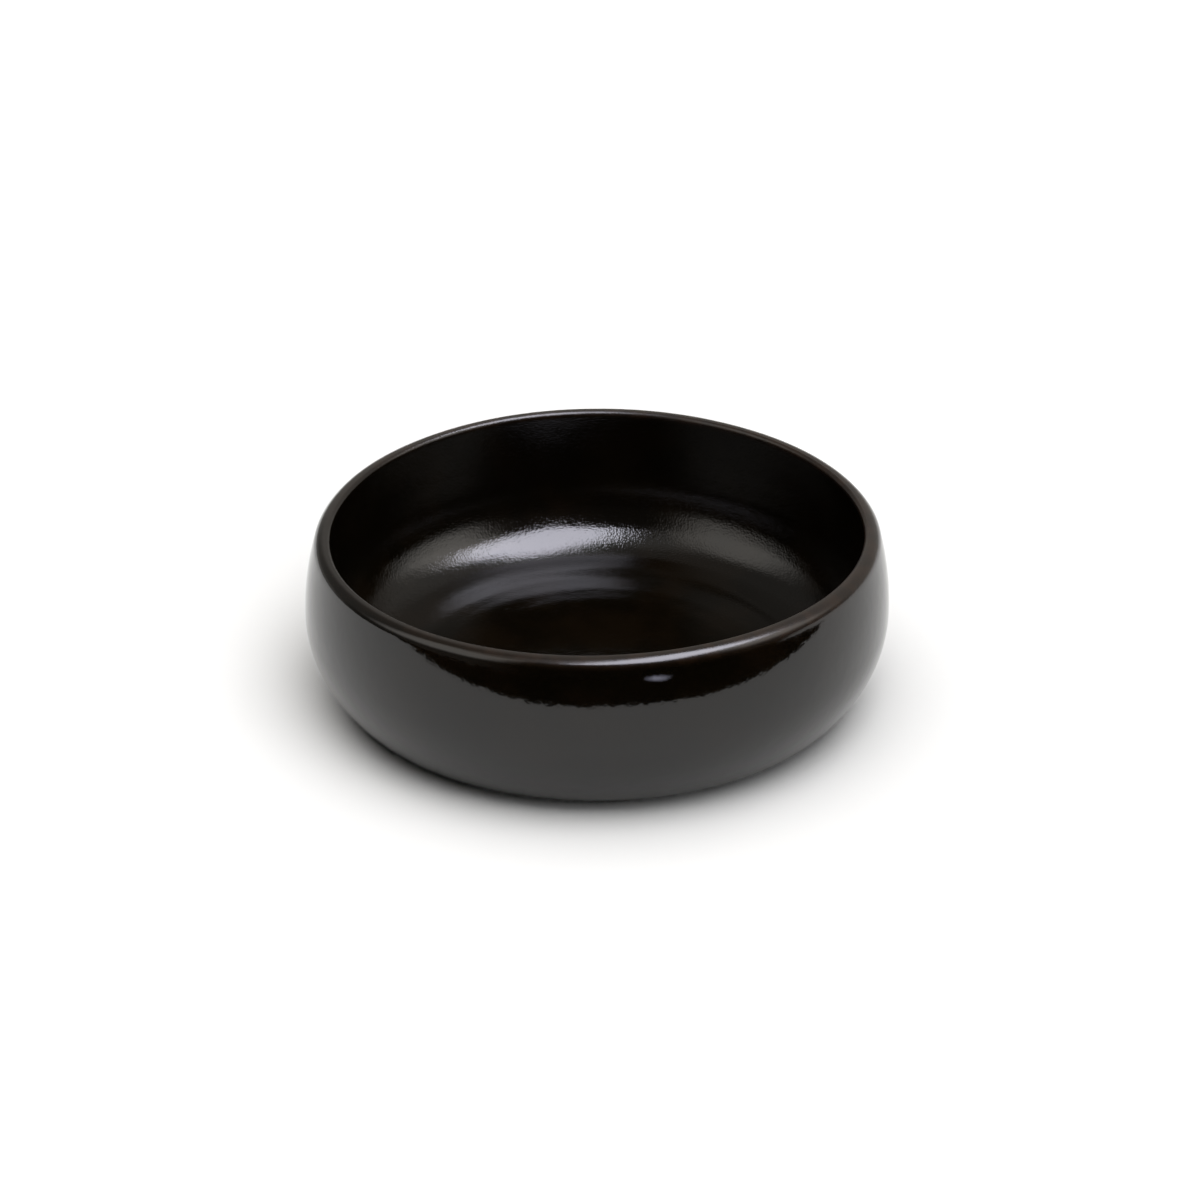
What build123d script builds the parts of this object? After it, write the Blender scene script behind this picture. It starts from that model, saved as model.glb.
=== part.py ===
from build123d import *
import os
from math import asin, cos, degrees, radians, sin

# A low, wide black clay bowl, turned about the Z axis and standing on the plane z = 0.
# It is put together as the potter does it: a flat base slab, a wall raised on its edge,
# a last coil rounded into the lip, a foot ring under the slab, and a glaze coat on the
# inside and on the outside. Every piece is a section in the radius-height plane, revolved.

# Driving dimensions, in millimetres and degrees.
height = 60.5  # table to the top of the lip
belly_radius = 100.0  # widest radius of the glazed bowl
shoulder_arc = 92.0  # outline of the wall from the belly up to the lip
shoulder_angle = 16.0  # how far the shoulder has leaned in where the lip begins
belly_arc = 38.0  # outline of the wall from the belly down towards the heel
belly_angle = 45.0
heel_arc = 8.0  # tight turn from the wall to the underside
lip_outer_round = 4.0
lip_inner_round = 1.6
inner_belly_radius = 93.0  # widest radius of the inside
inner_belly_height = 33.4
inner_shoulder_arc = 140.0  # inside outline from its widest radius up to the lip
side_curve = 28.0  # inside outline from its widest radius down
side_angle = 35.0
floor_curve = 23.0  # and the tighter turn that brings it onto the floor
coat = 0.5  # glaze thickness
rim_joint_height = 48.0  # where the last coil sits on the wall
glaze_line_radius = 76.0  # the outer glaze stops here, on the underside
foot_outer_radius = 70.0
foot_width = 7.0
foot_edge_round = 1.0

# Outside outline: centres of its arcs, as (radius, height).
lip_outer_reach = shoulder_arc - lip_outer_round
lip_outer_height = height - lip_outer_round
belly_height = lip_outer_height - lip_outer_reach * sin(radians(shoulder_angle))
shoulder_centre = (belly_radius - shoulder_arc, belly_height)
lip_outer_radius = shoulder_centre[0] + lip_outer_reach * cos(radians(shoulder_angle))
lip_outer_centre = (lip_outer_radius, lip_outer_height)
belly_centre = (belly_radius - belly_arc, belly_height)
heel_reach = belly_arc - heel_arc
heel_radius = belly_centre[0] + heel_reach * cos(radians(belly_angle))
heel_centre = (heel_radius, belly_height - heel_reach * sin(radians(belly_angle)))
underside_height = heel_centre[1] - heel_arc

# Inside outline: the wall turns into the floor in two curves, the lower one tighter.
inner_shoulder_centre = (inner_belly_radius - inner_shoulder_arc, inner_belly_height)
lip_inner_reach = inner_shoulder_arc + lip_inner_round
lip_inner_height = height - lip_inner_round
inner_angle = degrees(asin((lip_inner_height - inner_belly_height) / lip_inner_reach))
lip_inner_radius = inner_shoulder_centre[0] + lip_inner_reach * cos(radians(inner_angle))
lip_inner_centre = (lip_inner_radius, lip_inner_height)
side_centre = (inner_belly_radius - side_curve, inner_belly_height)
floor_reach = side_curve - floor_curve
floor_radius = side_centre[0] + floor_reach * cos(radians(side_angle))
floor_centre = (floor_radius, inner_belly_height - floor_reach * sin(radians(side_angle)))
floor_height = floor_centre[1] - floor_curve

# The region cuts reach past the bowl on every side.
wide = 1.5 * belly_radius
high = 1.5 * height


def arc(centre, radius, start, end):
    """An arc round a (radius, height) centre, between two angles in degrees."""
    return CenterArc(centre, radius, start, end - start)


def inside_outline(depth):
    """Floor, inner wall and inner half of the lip, this deep under the finished surface."""
    return [
        Line((0, floor_height - depth), (floor_radius, floor_height - depth)),
        arc(floor_centre, floor_curve + depth, -90, -side_angle),
        arc(side_centre, side_curve + depth, -side_angle, 0),
        arc(inner_shoulder_centre, inner_shoulder_arc + depth, 0, inner_angle),
        arc(lip_inner_centre, lip_inner_round - depth, 180 + inner_angle, 90),
    ]


def outside_outline(depth):
    """Outer half of the lip, shoulder, belly, heel and underside, this deep under the surface."""
    heel_bottom = (heel_radius, underside_height + depth)
    return [
        arc(lip_outer_centre, lip_outer_round - depth, 90, shoulder_angle),
        arc(shoulder_centre, shoulder_arc - depth, shoulder_angle, 0),
        arc(belly_centre, belly_arc - depth, 0, -belly_angle),
        arc(heel_centre, heel_arc - depth, -belly_angle, -90),
        Line(heel_bottom, (0, underside_height + depth)),
    ]


def bowl_section(depth):
    """The bowl's half section with its skin taken off to this depth."""
    inside = inside_outline(depth)
    outside = outside_outline(depth)
    lip_top = Line(inside[-1] @ 1, outside[0] @ 0)
    on_axis = Line(outside[-1] @ 1, inside[0] @ 0)
    return make_face(inside + [lip_top] + outside + [on_axis])


def cavity_section(depth):
    """The half section of the space inside the bowl, up past the lip, dug this much deeper."""
    inside = inside_outline(depth)
    lip_end = inside[-1] @ 1
    above_lip = Line(lip_end, (lip_end.X, high))
    across = Line((lip_end.X, high), (0, high))
    down_axis = Line((0, high), inside[0] @ 0)
    return make_face(inside + [above_lip, across, down_axis])


def region(radius_from, radius_to, height_from, height_to):
    """A rectangle of the radius-height plane, to keep or cut a part of a section."""
    middle = Pos((radius_from + radius_to) / 2, (height_from + height_to) / 2)
    return middle * Rectangle(radius_to - radius_from, height_to - height_from)


def turned(half_section):
    """The solid that a half section sweeps round the Z axis."""
    return revolve(Plane.XZ * half_section, axis=Axis.Z)


# Clay pieces: the slab, the wall and the rim coil meet face to face at their joints.
clay = bowl_section(coat)
base_slab = clay & region(0, floor_radius, 0, high)
wall = clay & region(floor_radius, wide, 0, rim_joint_height)
rim_coil = clay & region(floor_radius, wide, rim_joint_height, high)

# Foot ring: a low band under the slab, with its two standing edges rounded off.
foot_inner_radius = foot_outer_radius - foot_width
foot_ring = region(foot_inner_radius, foot_outer_radius, 0, underside_height + coat)
foot_ring = fillet(foot_ring.vertices().group_by(Axis.Y)[0], foot_edge_round)

# Glaze coats: they meet on top of the lip, and the outer one stops on the underside.
inner_glaze = cavity_section(coat) - cavity_section(0)
skin = bowl_section(0) - clay
bare_underside = region(0, glaze_line_radius, 0, underside_height + 2 * coat)
outer_glaze = skin - cavity_section(coat) - bare_underside

pieces = {
    "base_slab": base_slab,
    "wall": wall,
    "rim_coil": rim_coil,
    "foot_ring": foot_ring,
    "inner_glaze": inner_glaze,
    "outer_glaze": outer_glaze,
}

os.makedirs("parts", exist_ok=True)
for name, half_section in pieces.items():
    export_step(turned(half_section), f"parts/{name}.step")
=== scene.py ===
from math import asin, atan2, ceil, cos, degrees, hypot, pi, radians, sin, tau

import bmesh
import bpy
from mathutils import Matrix, Vector, noise


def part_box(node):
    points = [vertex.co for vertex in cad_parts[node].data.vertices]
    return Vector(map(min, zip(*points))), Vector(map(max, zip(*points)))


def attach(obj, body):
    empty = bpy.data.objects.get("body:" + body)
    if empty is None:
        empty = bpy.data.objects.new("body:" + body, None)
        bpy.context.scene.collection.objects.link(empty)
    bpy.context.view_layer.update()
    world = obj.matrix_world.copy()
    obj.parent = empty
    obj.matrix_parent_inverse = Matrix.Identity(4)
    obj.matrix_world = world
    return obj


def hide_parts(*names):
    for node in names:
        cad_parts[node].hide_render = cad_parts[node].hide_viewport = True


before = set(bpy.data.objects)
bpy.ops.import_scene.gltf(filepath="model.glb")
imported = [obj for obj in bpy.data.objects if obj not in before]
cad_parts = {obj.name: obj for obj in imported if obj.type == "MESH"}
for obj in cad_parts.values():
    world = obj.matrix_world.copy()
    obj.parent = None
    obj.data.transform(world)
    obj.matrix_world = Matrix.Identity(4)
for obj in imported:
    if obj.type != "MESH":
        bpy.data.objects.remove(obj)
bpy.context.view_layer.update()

# ---- Base slab ----
# The floor of the bowl, a slab of brown clay pressed flat on the wheel head. Its top is the
# bottom of the hollow, where fingers left a shallow spiral, and its underside is trimmed bare.
mm = 0.001
height = 60.5 * mm
coat = 0.5 * mm
inner_belly_radius = 93.0 * mm
inner_belly_height = 33.4 * mm
side_curve = 28.0 * mm
side_angle = 35.0
floor_curve = 23.0 * mm
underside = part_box("base_slab")[0].z
slab_steps = 144
hidden_step = 2.5 * mm
visible_step = 1.0 * mm


def place(radius, level):
    """A point of a half section, in the plane y = 0."""
    return Vector((radius, 0, level))


def beyond(centre, reach, angle):
    """The point that lies this far from a centre, at an angle up from straight outwards."""
    return centre + place(reach * cos(radians(angle)), reach * sin(radians(angle)))


side_centre = place(inner_belly_radius - side_curve, inner_belly_height)
floor_centre = beyond(side_centre, side_curve - floor_curve, -side_angle)
floor_radius = floor_centre.x
floor_height = floor_centre.z - floor_curve


class Outline:
    """Half of a section through a turned piece, drawn by pulling one point along."""

    coarsest_turn = 8.0

    def __init__(self, start):
        self.shape = bmesh.new()
        self.inward = self.shape.verts.layers.float_vector.new("inward")
        self.first = self.tip = self.shape.verts.new(start)

    def grow(self):
        """Adds a point joined to the last one, in the same place, and moves on to it."""
        grown = bmesh.ops.extrude_vert_indiv(self.shape, verts=[self.tip])
        self.tip = grown["verts"][0]
        return self.tip

    def pull(self, end, spacing=hidden_step, inward=(0, 0, 0)):
        """A straight run. Where fingers pressed the clay, inward is the way to the hollow."""
        run = end - self.tip.co
        steps = max(1, ceil(run.length / spacing))
        self.tip[self.inward] = inward
        for _ in range(steps):
            point = self.grow()
            point.co += run / steps
            point[self.inward] = inward

    def bend(self, centre, turn, spacing=hidden_step, pressed=False):
        """A round run about a centre, turning by some degrees, positive anticlockwise."""
        arc_length = (self.tip.co - centre).length * radians(abs(turn))
        steps = max(ceil(arc_length / spacing), ceil(abs(turn) / self.coarsest_turn))
        one_turn = Matrix.Rotation(-radians(turn) / steps, 3, "Y")
        for _ in range(steps):
            point = self.grow()
            bmesh.ops.rotate(self.shape, verts=[point], cent=centre, matrix=one_turn)
            if pressed:
                point[self.inward] = (centre - point.co).normalized()

    def follow(self, bends, spacing=hidden_step, pressed=False):
        """Several round runs, one after the other."""
        for centre, turn in bends:
            self.bend(centre, turn, spacing, pressed)

    def retrace(self, bends, spacing=hidden_step, pressed=False):
        """The same round runs backwards, on the way back under a coat."""
        for centre, turn in reversed(bends):
            self.bend(centre, -turn, spacing, pressed)

    def close(self):
        """Joins the last point to the first."""
        bmesh.ops.contextual_create(self.shape, geom=[self.tip, self.first])


def finger_ring(point, around):
    """How deep the fingers' spiral lies here, in the slab and the inside of the wall."""
    pitch = 9.0 * mm
    depth = 0.025 * mm
    travel = hypot(point.x, point.y) + point.z
    fade_in = min(max((travel - 35 * mm) / (30 * mm), 0), 1)
    fade_out = min(max((148 * mm - travel) / (35 * mm), 0), 1)
    return depth * fade_in * fade_out * sin(tau * travel / pitch + around)


# The dents come from noise that differs in each run unless it is seeded.
dent_seed = 1
noise.seed_set(dent_seed)


def settled(point):
    """Where a point of the true round ends up, once the soft bowl has leaned and sagged."""
    lip_radius = 92.5 * mm
    lean = 1.6 * mm
    saddle = 0.44 * mm
    twist = 0.43 * mm
    out_of_round = 0.0059
    dent_depth = 0.25 * mm
    dent_size = 55 * mm
    raised = point.z / height
    across = point.x / lip_radius
    deep = -point.y / lip_radius
    rise = raised * (lean * across + saddle * (deep**2 - across**2) + twist * 2 * across * deep)
    swell = 1 + raised * out_of_round * 2 * across * deep
    dent = min(raised * 3, 1) * dent_depth * noise.noise_vector(point / dent_size)
    return Vector((point.x * swell, point.y * swell, point.z + rise)) + dent


def throw(name, outline, steps=slab_steps):
    """Turns an outline once round on the wheel, and gives the piece its hand-made unevenness."""
    shape = outline.shape
    section = shape.verts[:] + shape.edges[:]
    up = (0, 0, 1)
    bmesh.ops.spin(shape, geom=section, cent=(0, 0, 0), axis=up, angle=tau, steps=steps, use_merge=True)
    bmesh.ops.remove_doubles(shape, verts=shape.verts, dist=0.001 * mm)
    inside = shape.verts.layers.float.new("inside")
    for point in shape.verts:
        inward = point[outline.inward]
        around = atan2(point.co.y, point.co.x)
        push = Matrix.Rotation(around, 3, "Z") @ inward
        point[inside] = inward.length
        point.co = settled(point.co + push * finger_ring(point.co, around))
    shape.verts.layers.float_vector.remove(outline.inward)
    bmesh.ops.recalc_face_normals(shape, faces=shape.faces)
    for face in shape.faces:
        face.smooth = True
    for edge in shape.edges:
        edge.smooth = edge.calc_face_angle(0) < radians(35)
    mesh = bpy.data.meshes.new(name)
    shape.to_mesh(mesh)
    shape.free()
    piece = bpy.data.objects.new(name, mesh)
    bpy.context.scene.collection.objects.link(piece)
    return piece


class Amount:
    """A number that changes over a surface, so that a finish can be written as a sum."""

    def __init__(self, finish, socket):
        self.finish = finish
        self.socket = socket

    def worked(self, operation, first, second):
        """The result of a sum on two amounts or numbers."""
        return self.finish.node("ShaderNodeMath", {"operation": operation}, {0: first, 1: second})

    def __add__(self, other):
        return self.worked("ADD", self, other)

    def __radd__(self, other):
        return self.worked("ADD", other, self)

    def __sub__(self, other):
        return self.worked("SUBTRACT", self, other)

    def __rsub__(self, other):
        return self.worked("SUBTRACT", other, self)

    def __mul__(self, other):
        return self.worked("MULTIPLY", self, other)

    def __rmul__(self, other):
        return self.worked("MULTIPLY", other, self)

    def __truediv__(self, other):
        return self.worked("DIVIDE", self, other)


class Finish:
    """One finish, such as a clay or a glaze, and its shader nodes."""

    def __init__(self, tree):
        self.tree = tree
        self.tree.nodes.clear()

    def node(self, kind, settings=None, sockets=None, output=0):
        """Adds a node, sets it, fills its sockets with values or links, and gives one output."""
        added = self.tree.nodes.new(kind)
        for name, value in (settings or {}).items():
            setattr(added, name, value)
        for name, value in (sockets or {}).items():
            if isinstance(value, Amount):
                self.tree.links.new(value.socket, added.inputs[name])
            else:
                added.inputs[name].default_value = value
        return Amount(self, added.outputs[output])

    def ramp(self, amount, start, end, low=0.0, high=1.0):
        """Goes smoothly from low to high as an amount goes from start to end."""
        settings = {"interpolation_type": "SMOOTHSTEP"}
        return self.node("ShaderNodeMapRange", settings, {0: amount, 1: start, 2: end, 3: low, 4: high})

    def blend(self, share, first, second):
        """A colour between two others."""
        settings = {"data_type": "RGBA"}
        first, second = (c if isinstance(c, Amount) else (*c, 1) for c in (first, second))
        return self.node("ShaderNodeMix", settings, {0: share, 6: first, 7: second}, output=2)

    def cloud(self, where, size, detail=2.0, roughness=0.5):
        """Soft noise from 0 to 1, with lumps of a given size."""
        sockets = {"Vector": where, "Scale": 1 / size, "Detail": detail, "Roughness": roughness}
        return self.node("ShaderNodeTexNoise", None, sockets)

    def specks(self, where, size, radius):
        """Scattered round specks, 1 at their middle and 0 from a share of their spacing out."""
        sockets = {"Vector": where, "Scale": 1 / size}
        distance = self.node("ShaderNodeTexVoronoi", {"feature": "F1"}, sockets)
        return self.ramp(distance, 0.0, radius, 1.0, 0.0)

    def grain(self, relief):
        """A bumped normal from a relief in millimetres."""
        return self.node("ShaderNodeBump", None, {"Strength": 1.0, "Distance": mm, "Height": relief})

    def surface(self, **sockets):
        """The finished shader, from the sockets of the Principled one."""
        named = {name.replace("_", " "): value for name, value in sockets.items()}
        shader = self.node("ShaderNodeBsdfPrincipled", None, named)
        self.node_to_output(shader, "ShaderNodeOutputMaterial")

    def node_to_output(self, shader, kind):
        """Links a shader to the material's or the world's output."""
        output = self.tree.nodes.new(kind)
        self.tree.links.new(shader.socket, output.inputs["Surface"])


def bare_clay():
    """Fired brown clay left bare: sandy, with darker grog and the fine lines of turning."""
    brown = (0.155, 0.088, 0.052)
    pale_brown = (0.235, 0.148, 0.095)
    dark_grog = (0.055, 0.034, 0.024)
    material = bpy.data.materials.new("bare_clay")
    material.use_nodes = True
    clay = Finish(material.node_tree)
    where = clay.node("ShaderNodeTexCoord", output=3)
    flat = clay.node("ShaderNodeVectorMath", {"operation": "MULTIPLY"}, {0: where, 1: (1, 1, 0)})
    radius = clay.node("ShaderNodeVectorMath", {"operation": "LENGTH"}, {0: flat}, output=1)
    blotches = clay.cloud(where, 14 * mm, detail=4)
    sand = clay.cloud(where, 0.5 * mm, detail=3)
    line_spacing = 1.1 * mm
    line_sockets = {"W": radius / line_spacing, "Scale": 1.0, "Detail": 2.0}
    lines = clay.node("ShaderNodeTexNoise", {"noise_dimensions": "1D"}, line_sockets)
    grog = clay.specks(where, 1.6 * mm, 0.22)
    pits = clay.specks(where, 2.7 * mm, 0.16)
    colour = clay.blend(clay.ramp(blotches, 0.35, 0.65), brown, pale_brown)
    colour = clay.blend(grog * 0.7, colour, dark_grog)
    relief = sand * 0.06 + lines * 0.10 + grog * 0.05 - pits * 0.18
    roughness = 0.78 + sand * 0.2
    clay.surface(Base_Color=colour, Roughness=roughness, Normal=clay.grain(relief))
    return material


clay_finish = bare_clay()

slab_outline = Outline(place(0, floor_height - coat))
slab_outline.pull(place(floor_radius, floor_height - coat), inward=(0, 0, 1))
slab_outline.pull(place(floor_radius, underside))
slab_outline.pull(place(0, underside), visible_step)
base_slab = throw("base_slab_clay", slab_outline)
base_slab.data.materials.append(clay_finish)
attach(base_slab, "root")
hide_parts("base_slab")

# ---- Wall ----
# The body of the bowl, of the same clay, raised on the slab's edge and bellied out from inside.
# It leans back in above the belly, and its flat top waits for the last coil.
belly_radius = 100.0 * mm
shoulder_arc = 92.0 * mm
shoulder_angle = 16.0
belly_arc = 38.0 * mm
belly_angle = 45.0
heel_arc = 8.0 * mm
lip_outer_round = 4.0 * mm
inner_shoulder_arc = 140.0 * mm
joint_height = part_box("wall")[1].z

lip_outer_reach = shoulder_arc - lip_outer_round
belly_height = height - lip_outer_round - lip_outer_reach * sin(radians(shoulder_angle))
shoulder_centre = place(belly_radius - shoulder_arc, belly_height)
belly_centre = place(belly_radius - belly_arc, belly_height)
heel_centre = beyond(belly_centre, belly_arc - heel_arc, -belly_angle)
inner_shoulder_centre = place(inner_belly_radius - inner_shoulder_arc, inner_belly_height)

# Each bend of the clay is a centre and the degrees that the outline turns about it.
inner_joint_angle = degrees(asin((joint_height - inner_belly_height) / (inner_shoulder_arc + coat)))
outer_joint_angle = degrees(asin((joint_height - belly_height) / (shoulder_arc - coat)))
floor_bends = [(floor_centre, 90 - side_angle), (side_centre, side_angle)]
wall_inside = floor_bends + [(inner_shoulder_centre, inner_joint_angle)]
belly_bends = [(belly_centre, -belly_angle), (heel_centre, belly_angle - 90)]
wall_outside = [(shoulder_centre, -outer_joint_angle)] + belly_bends
joint_outer_edge = beyond(shoulder_centre, shoulder_arc - coat, outer_joint_angle)

wall_outline = Outline(place(floor_radius, floor_height - coat))
wall_outline.follow(wall_inside, pressed=True)
wall_outline.pull(joint_outer_edge)
wall_outline.follow(wall_outside)
wall_outline.pull(place(floor_radius, underside), visible_step)
wall_outline.close()
wall = throw("wall_clay", wall_outline)
wall.data.materials.append(clay_finish)
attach(wall, "root")
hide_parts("wall")

# ---- Rim coil ----
# The last coil of clay, luted on the wall and squeezed between finger and thumb into a
# rounded lip that is sharper on its inner edge.
lip_inner_round = 1.6 * mm
lip_inner_reach = inner_shoulder_arc + lip_inner_round
lip_inner_rise = height - lip_inner_round - inner_belly_height
inner_angle = degrees(asin(lip_inner_rise / lip_inner_reach))
lip_inner_centre = beyond(inner_shoulder_centre, lip_inner_reach, inner_angle)
lip_outer_centre = beyond(shoulder_centre, lip_outer_reach, shoulder_angle)
lip_inside = (lip_inner_centre, -90 - inner_angle)
lip_outside = (lip_outer_centre, shoulder_angle - 90)

rim_outline = Outline(beyond(inner_shoulder_centre, inner_shoulder_arc + coat, inner_joint_angle))
rim_outline.bend(inner_shoulder_centre, inner_angle - inner_joint_angle, pressed=True)
rim_outline.bend(*lip_inside)
rim_outline.pull(place(lip_outer_centre.x, height - coat))
rim_outline.bend(*lip_outside)
rim_outline.bend(shoulder_centre, outer_joint_angle - shoulder_angle)
rim_outline.close()
rim_coil = throw("rim_coil_clay", rim_outline)
rim_coil.data.materials.append(clay_finish)
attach(rim_coil, "root")
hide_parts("rim_coil")

# ---- Foot ring ----
# A low band of clay under the slab's edge, the only part that touches the table. Its two
# standing edges are rubbed round, and it is wiped clean of glaze.
foot_low, foot_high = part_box("foot_ring")
foot_outer = foot_high.x
foot_width = 7.0 * mm
foot_inner = foot_outer - foot_width
edge_round = 1.0 * mm

foot_outline = Outline(place(foot_inner, foot_high.z))
foot_outline.pull(place(foot_outer, foot_high.z))
foot_outline.pull(place(foot_outer, foot_low.z + edge_round), visible_step)
foot_outline.bend(place(foot_outer - edge_round, foot_low.z + edge_round), -90, visible_step)
foot_outline.pull(place(foot_inner + edge_round, foot_low.z), visible_step)
foot_outline.bend(place(foot_inner + edge_round, foot_low.z + edge_round), -90, visible_step)
foot_outline.close()
foot_ring = throw("foot_ring_clay", foot_outline)
foot_ring.data.materials.append(clay_finish)
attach(foot_ring, "root")
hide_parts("foot_ring")

# ---- Glaze ----
# One gloss black coat, poured inside and over the lip, and stopped on the underside in a
# rounded bead a little outside the foot. It is fine-grained inside, and smoother outside.
glaze_line = 76.0 * mm
glaze_steps = 240


def black_glaze():
    """Black iron glaze: browner where it is thin on the lip, with one painted highlight below it, a
    pale lavender patch standing in for the softbox's glint.
    """
    black = (0.0017, 0.0011, 0.0004)
    warm_black = (0.0034, 0.0020, 0.0008)
    thin_brown = (0.016, 0.008, 0.004)
    # A pale lavender painted highlight, the softbox's glint painted on below the lip.
    painted_highlight_colour = (0.15, 0.15, 0.19)
    painted_highlight_middle = (19.4 * mm, -95.2 * mm, 54.8 * mm)
    painted_highlight_reach = (5.0 * mm, 4.0 * mm, 1.3 * mm)
    lip_start = 57.5 * mm
    floor_level = 6 * mm
    side_level = 13 * mm
    material = bpy.data.materials.new("black_glaze")
    material.use_nodes = True
    glaze = Finish(material.node_tree)
    where = glaze.node("ShaderNodeTexCoord", output=3)
    level = glaze.node("ShaderNodeSeparateXYZ", None, {0: where}, output=2)
    inside = glaze.node("ShaderNodeAttribute", {"attribute_name": "inside"}, None, output=2)

    # The colour: warmer in soft blotches, and patchily brown along the lip.
    blotches = glaze.cloud(where, 22 * mm, detail=3)
    patchy = glaze.ramp(glaze.cloud(where, 6 * mm), 0.4, 0.6)
    lip_band = glaze.ramp(level, lip_start, height)
    colour = glaze.blend(glaze.ramp(blotches, 0.4, 0.65), black, warm_black)
    colour = glaze.blend(lip_band * (0.35 + patchy * 0.4), colour, thin_brown)

    # The painted highlight: a ragged level ellipse painted pale lavender, standing in for the softbox's
    # glint just below the lip, and made duller than the rest.
    offset = glaze.node("ShaderNodeVectorMath", {"operation": "SUBTRACT"}, {0: where, 1: painted_highlight_middle})
    offset = glaze.node("ShaderNodeVectorMath", {"operation": "DIVIDE"}, {0: offset, 1: painted_highlight_reach})
    distance = glaze.node("ShaderNodeVectorMath", {"operation": "LENGTH"}, {0: offset}, output=1)
    painted_highlight = glaze.ramp(distance + glaze.cloud(where, 2.2 * mm) * 0.8, 0.3, 1.5, 1.0, 0.0)
    colour = glaze.blend(painted_highlight, colour, painted_highlight_colour)

    # The relief: a fine grain, strongest on the side of the hollow, orange peel and pinholes.
    fine_grain = glaze.cloud(where, 0.65 * mm, detail=1)
    orange_peel = glaze.cloud(where, 5.0 * mm, detail=3)
    pinholes = glaze.specks(where, 14 * mm, 0.022)
    grain_height = 0.002 + inside * glaze.ramp(level, floor_level, side_level, 0.022, 0.085)
    relief = fine_grain * grain_height + orange_peel * 0.06 - pinholes * 0.15
    roughness = 0.05 + inside * 0.05 + lip_band * 0.18 + painted_highlight * 0.2 + blotches * 0.02
    glaze.surface(Base_Color=colour, Roughness=roughness, IOR=1.5, Normal=glaze.grain(relief))
    return material


glaze_inside = floor_bends + [(inner_shoulder_centre, inner_angle)]
glaze_outside = [(shoulder_centre, -shoulder_angle)] + belly_bends

# Out from the middle of the floor, over the lip and down to the bead, then back under the coat.
glaze_outline = Outline(place(0, floor_height))
glaze_outline.pull(place(floor_radius, floor_height), visible_step, inward=(0, 0, 1))
glaze_outline.follow(glaze_inside, visible_step, pressed=True)
glaze_outline.bend(*lip_inside)
glaze_outline.pull(place(lip_outer_centre.x, height))
glaze_outline.bend(*lip_outside)
glaze_outline.follow(glaze_outside, visible_step)
glaze_outline.pull(place(glaze_line, underside - coat), visible_step)
glaze_outline.bend(place(glaze_line, underside - coat / 2), -180)
glaze_outline.pull(place(heel_centre.x, underside))
glaze_outline.retrace([lip_outside] + glaze_outside)
glaze_outline.pull(place(lip_inner_centre.x, height - coat))
glaze_outline.bend(lip_inner_centre, -lip_inside[1])
glaze_outline.retrace(glaze_inside, pressed=True)
glaze_outline.pull(place(0, floor_height - coat), inward=(0, 0, 1))
glaze_coat = throw("glaze_coat", glaze_outline, glaze_steps)
glaze_coat.data.materials.append(black_glaze())
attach(glaze_coat, "root")
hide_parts("inner_glaze", "outer_glaze")

# ---- Table ----
# A pale seamless sheet that the bowl stands on. The glaze mirrors only a smaller sheet, with
# a straight front edge and a slanting right one, so dark cloth beyond them shows in the glaze.
table_size = 4.0
sheet_front = -0.29
sheet_corner = (0.06, -0.29)
sheet_slant = 33.0
slanting_size = (0.50, 1.0)


def matt_finish(name, brightness):
    """A dull, even grey finish for what lies round the bowl."""
    material = bpy.data.materials.new(name)
    material.use_nodes = True
    colour = (brightness, brightness, brightness, 1)
    Finish(material.node_tree).surface(Base_Color=colour, Roughness=1.0, Specular_IOR_Level=0.0)
    return material


def flat_sheet(name, middle, spread, turn=0.0):
    """A level rectangle: where its middle is, how far it reaches, and how far it is turned."""
    shape = bmesh.new()
    bmesh.ops.create_grid(shape, x_segments=1, y_segments=1, size=0.5)
    bmesh.ops.scale(shape, vec=(*spread, 1), verts=shape.verts)
    turned = Matrix.Rotation(radians(turn), 3, "Z")
    bmesh.ops.rotate(shape, verts=shape.verts, cent=(0, 0, 0), matrix=turned)
    bmesh.ops.translate(shape, vec=middle, verts=shape.verts)
    mesh = bpy.data.meshes.new(name)
    shape.to_mesh(mesh)
    shape.free()
    sheet = bpy.data.objects.new(name, mesh)
    bpy.context.scene.collection.objects.link(sheet)
    return sheet


table = flat_sheet("table", (0, 0, 0), (2 * table_size, 2 * table_size))
table.data.materials.append(matt_finish("pale_paper", 0.90))
dark_cloth = matt_finish("dark_cloth", 0.004)
cloth_depth = table_size + sheet_front
front_middle = (0, sheet_front - cloth_depth / 2, mm)
front_cloth = flat_sheet("front_cloth", front_middle, (2 * table_size, cloth_depth))
slant = Matrix.Rotation(radians(sheet_slant), 3, "Z")
to_middle = Vector((slanting_size[0] / 2, -slanting_size[1] / 2, 0))
side_middle = Vector((*sheet_corner, mm)) + slant @ to_middle
side_cloth = flat_sheet("side_cloth", side_middle, slanting_size, sheet_slant)
for cloth in (front_cloth, side_cloth):
    cloth.data.materials.append(dark_cloth)
    cloth.visible_camera = False
    cloth.visible_diffuse = False
    cloth.visible_shadow = False

# ---- Light ----
# One large cool softbox high over the bowl, towards its front right, that the glaze mirrors as
# it looks and the table feels through its cloth. A white ceiling and a front light, which the
# glaze doesn't mirror, fill the shadows. All are far off, so they light the table evenly.
softbox_height = 10.0
softbox_middle = (0.30, -0.35)
softbox_size = (0.72, 1.02)
softbox_turn = -23.5
softbox_mirrored = 11.0
softbox_spread = 3.6
mirrored_colour = (0.94, 0.94, 1.07)
spread_colour = (0.975, 0.99, 1.02)
ceiling_middle = Vector((0, 0, 8.0))
ceiling_size = (12.0, 12.0)
ceiling_brightness = 2.1
ceiling_colour = (1.0, 0.985, 0.96)
front_light_place = Vector((3.5, -5.5, 5.0))
front_light_size = (7.0, 4.0)
front_light_brightness = 1.6


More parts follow.
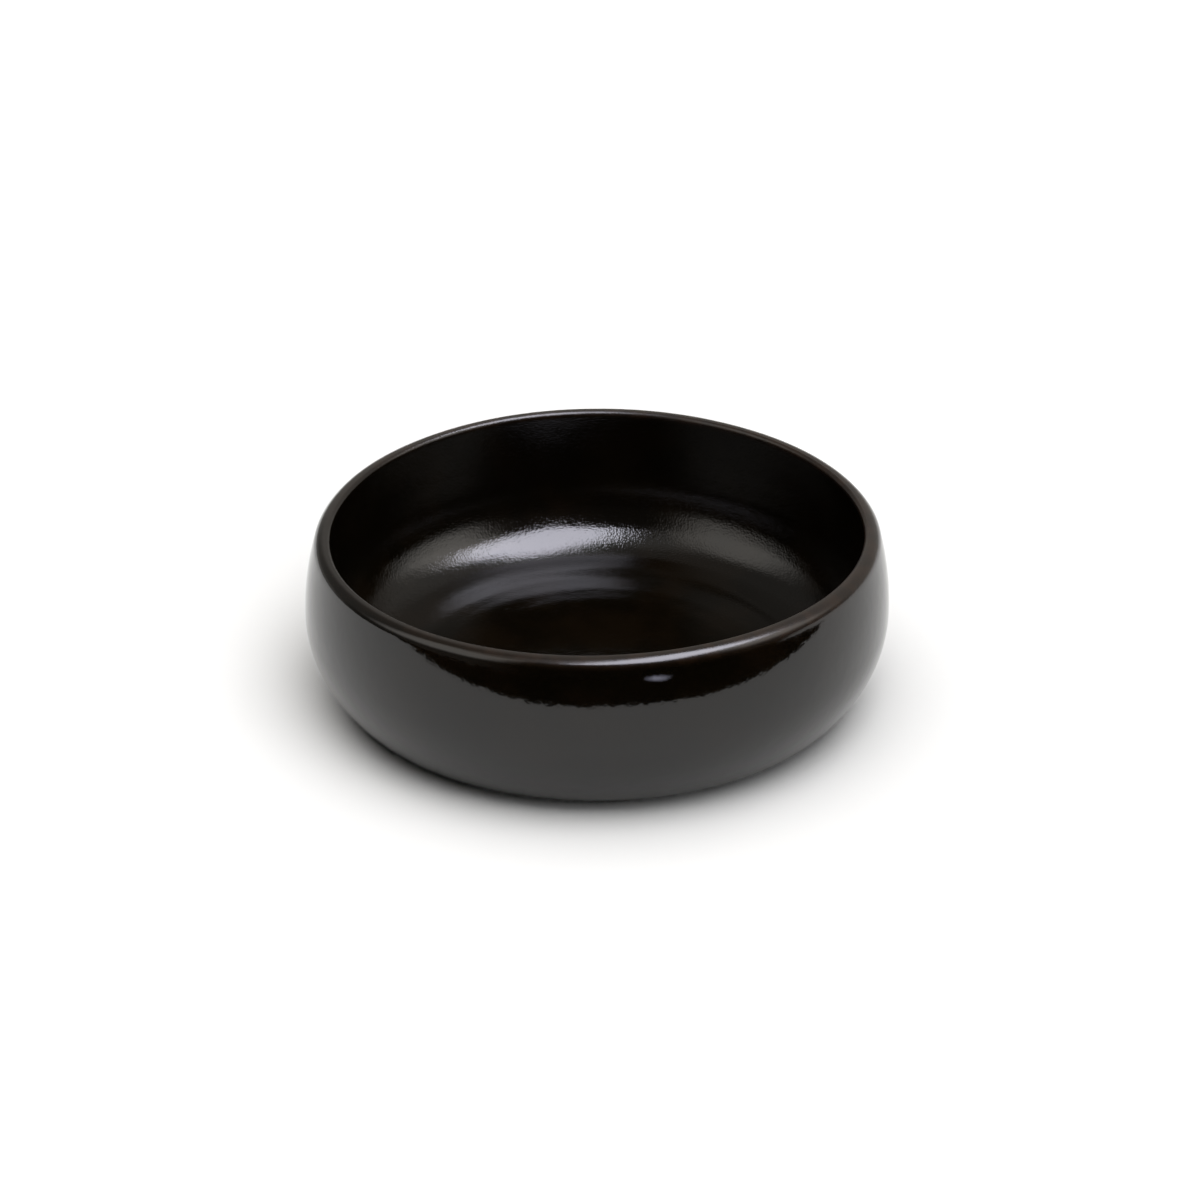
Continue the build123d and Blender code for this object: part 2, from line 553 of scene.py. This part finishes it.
def studio_light(name, location, size, brightness, colour, turn=0.0):
    """A rectangle of light facing down. Its brightness is how bright it looks, beside white at 1."""
    lamp = bpy.data.lights.new(name, "AREA")
    lamp.shape = "RECTANGLE"
    lamp.size = size[0]
    lamp.size_y = size[1]
    lamp.energy = brightness * pi * size[0] * size[1]
    lamp.color = colour
    light = bpy.data.objects.new(name, lamp)
    light.location = location
    light.rotation_euler = (0, 0, radians(turn))
    light.visible_camera = False
    bpy.context.scene.collection.objects.link(light)
    return light


overhead = Vector((*softbox_middle, 1)) * softbox_height
overhead_size = [side * softbox_height for side in softbox_size]
mirrored_light = studio_light(
    "softbox", overhead, overhead_size, softbox_mirrored, mirrored_colour, softbox_turn
)
mirrored_light.visible_diffuse = False
spread_light = studio_light(
    "softbox_cloth", overhead, overhead_size, softbox_spread, spread_colour, softbox_turn
)
ceiling_light = studio_light(
    "ceiling", ceiling_middle, ceiling_size, ceiling_brightness, ceiling_colour
)
front_light = studio_light(
    "front_light", front_light_place, front_light_size, front_light_brightness, (1, 1, 1)
)
front_light.rotation_euler = (-front_light_place).to_track_quat("-Z", "Y").to_euler()
for unmirrored_light in (spread_light, ceiling_light, front_light):
    unmirrored_light.visible_glossy = False

# The room that the glaze mirrors beside the softbox: two grey walls, a dim back and ceiling,
# and darkness behind the camera. Seen directly it is only a pale backdrop.
pale_backdrop = (0.99, 0.99, 0.98)
room_warmth = (1.0, 0.96, 0.90)
world = bpy.data.worlds.new("studio")
world.use_nodes = True
bpy.context.scene.world = world
world.cycles_visibility.diffuse = False
room = Finish(world.node_tree)


def band(angle, start, end, softness):
    """1 between two angles in degrees and 0 outside them, with soft edges."""
    rising = room.ramp(angle, radians(start - softness), radians(start + softness))
    falling = room.ramp(angle, radians(end - softness), radians(end + softness), 1.0, 0.0)
    return rising * falling


outwards = room.node("ShaderNodeTexCoord", output=0)
east = room.node("ShaderNodeSeparateXYZ", None, {0: outwards}, output=0)
north = room.node("ShaderNodeSeparateXYZ", None, {0: outwards}, output=1)
front = 0 - north
up = room.node("ShaderNodeSeparateXYZ", None, {0: outwards}, output=2)
bearing = room.node("ShaderNodeMath", {"operation": "ARCTAN2"}, {0: east, 1: front})
rise = room.node("ShaderNodeMath", {"operation": "ARCSINE"}, {0: up})
dark_front = band(bearing, -42, 56, 12) * band(rise, -90, 60, 10)
low_sides = band(bearing, -115, 112, 12) * band(rise, -90, 16, 8)
left_wall = band(bearing, -102, -44, 10) * band(rise, 22, 57, 8)
right_wall = band(bearing, 56, 102, 9) * band(rise, 24, 62, 10)
dim_left = band(bearing, -160, -95, 12) * band(rise, 8, 100, 8)
room_light = 0.45 - dim_left * 0.25
room_light = room_light * (1 - dark_front * 0.93) * (1 - low_sides * 0.75)
room_light = room_light + left_wall * 1.0 + right_wall * 1.6
seen = room.node("ShaderNodeLightPath", output=0)
warm_light = {0: room_warmth, "Scale": room_light}
mirrored = room.node("ShaderNodeVectorMath", {"operation": "SCALE"}, warm_light)
shown_colour = room.blend(seen, mirrored, pale_backdrop)
background = room.node("ShaderNodeBackground", None, {0: shown_colour})
room.node_to_output(background, "ShaderNodeOutputWorld")

# ---- Camera ----
# A long lens at arm's length and a little more, looking down into the bowl by 28 degrees.
camera_distance = 1.3
camera_rise = radians(28.05)
bowl_middle = 30.5 * mm
aim = Vector((1.0 * mm, 0, 32.2 * mm))
camera_data = bpy.data.cameras.new("camera")
camera_data.sensor_width = 36.0
camera_data.lens = 113.4
camera = bpy.data.objects.new("camera", camera_data)
line_of_sight = Vector((0, -cos(camera_rise), sin(camera_rise)))
camera.location = place(0, bowl_middle) + line_of_sight * camera_distance
camera.rotation_euler = (aim - camera.location).to_track_quat("-Z", "Y").to_euler()
bpy.context.scene.collection.objects.link(camera)
bpy.context.scene.camera = camera
bpy.context.scene.view_settings.view_transform = "Standard"
